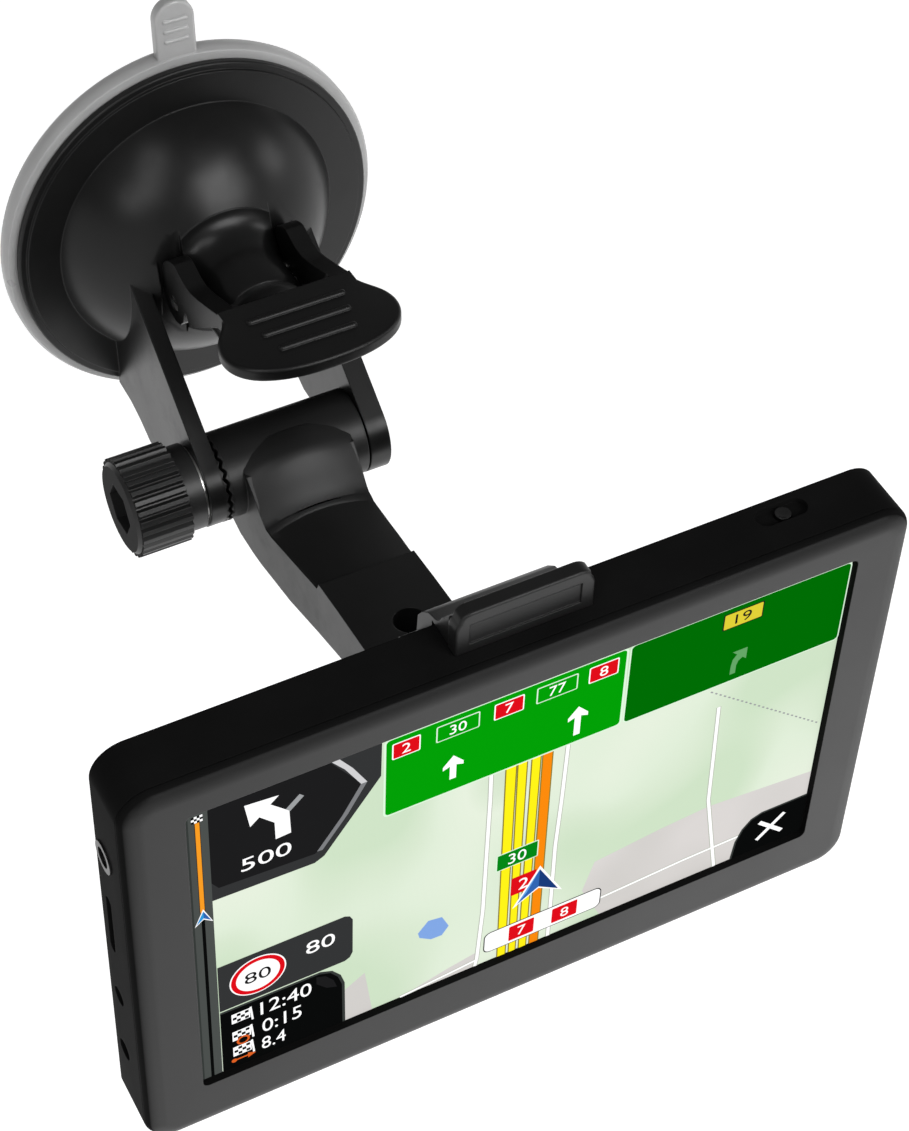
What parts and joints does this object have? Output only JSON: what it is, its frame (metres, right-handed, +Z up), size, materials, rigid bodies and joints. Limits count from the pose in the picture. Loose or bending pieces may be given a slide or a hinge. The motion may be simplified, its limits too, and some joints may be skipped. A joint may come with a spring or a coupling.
{
  "type": "portable gps navigator",
  "caption": "Flat in-car navigator with a wide touch display, held in a latch cradle on a ball-jointed arm with a lever-locked windscreen suction cup.",
  "frame": {"origin": "centre of the suction face", "axes": "+Y out of the suction face into the windscreen, +Z up, +X to the right as the driver sees the screen"},
  "size_m": [0.1332, 0.1308, 0.1304],
  "materials": {
    "pad_tpu": "satin translucent",
    "mount_plastic": "satin",
    "knob_plastic": "matte",
    "steel": "satin",
    "liner_nylon": "matte",
    "cradle_plastic": "satin",
    "bezel_plastic": "fine satin",
    "case_plastic": "matte",
    "screen_glass": "semi-gloss",
    "lcd_body": "satin",
    "board": "satin",
    "battery_foil": "satin",
    "speaker_body": "matte",
    "ceramic": "matte",
    "tin_plate": "satin",
    "socket_plastic": "satin",
    "button_plastic": "semi-gloss"
  },
  "bodies": {
    "base": {"suction_pad": "pad_tpu", "cup_housing": "mount_plastic", "clamp_nut": "steel", "clamp_washer": "steel"},
    "plunger_set": {"plunger": "mount_plastic", "lever_pin": "steel"},
    "lever": {"lever": "mount_plastic"},
    "knob": {"clamp_knob": "knob_plastic", "clamp_bolt": "steel"},
    "arm": {"mount_arm": "mount_plastic"},
    "socket_liner": {"socket_liner": "liner_nylon"},
    "ball_stud": {"ball_stud": "liner_nylon"},
    "cradle": {"cradle": "cradle_plastic", "latch_pin": "steel"},
    "latch": {"cradle_latch": "cradle_plastic"},
    "navigator": {"front_bezel": "bezel_plastic", "rear_cover": "case_plastic", "case_screws": "steel", "touch_panel": "screen_glass", "lcd_module": "lcd_body", "main_board": "board", "battery": "battery_foil", "speaker": "speaker_body", "gps_antenna": "ceramic", "shield_can": "tin_plate", "earphone_jack": "socket_plastic", "card_slot": "tin_plate", "usb_port": "tin_plate", "power_switch": "tin_plate"},
    "power_button": {"power_button": "button_plastic"}
  },
  "joints": [
    {"name": "lever_flip", "type": "hinge", "parent": "plunger_set", "child": "lever", "pos_m": [0, -0.0235, 0], "axis": [-1, 0, 0], "range_deg": [0, 80.1]},
    {"name": "plunger_lift", "type": "slide", "parent": "base", "child": "plunger_set", "axis": [0, -1, 0], "range_m": [0, 0.0044]},
    {"name": "knob_turn", "type": "hinge", "parent": "base", "child": "knob", "pos_m": [0, -0.039, -0.027], "axis": [-1, 0, 0], "range_deg": [0, 540]},
    {"name": "arm_pitch", "type": "hinge", "parent": "base", "child": "arm", "pos_m": [0, -0.039, -0.027], "axis": [-1, 0, 0], "range_deg": [-60, 45]},
    {"name": "ball_tilt", "type": "hinge", "parent": "arm", "child": "socket_liner", "pos_m": [0, -0.099, -0.033], "axis": [-1, 0, 0], "range_deg": [-15, 15]},
    {"name": "ball_swivel", "type": "hinge", "parent": "socket_liner", "child": "ball_stud", "pos_m": [0, -0.099, -0.033], "axis": [0, 0, 1], "range_deg": [-20, 20]},
    {"name": "cradle_roll", "type": "hinge", "parent": "ball_stud", "child": "cradle", "pos_m": [0, -0.099, -0.033], "axis": [0, 0.9976, 0.0698], "range_deg": [-90, 90]},
    {"name": "latch_flex", "type": "hinge", "parent": "cradle", "child": "latch", "pos_m": [0, -0.11572, 0.00044], "axis": [-1, 0, 0], "range_deg": [0, 8], "stiffness_Nm_per_rad": 0.3},
    {"name": "navigator_slide", "type": "slide", "parent": "cradle", "child": "navigator", "axis": [0, -0.9976, -0.0698], "range_m": [0, 0.03]},
    {"name": "power_press", "type": "slide", "parent": "navigator", "child": "power_button", "axis": [0, 0.0698, -0.9976], "range_m": [0, 0.0006], "stiffness_N_per_m": 1500}
  ],
  "couplings": [
    {"joint": "lever_flip", "follows": "plunger_lift", "rad_per_m": 317.33}
  ]
}
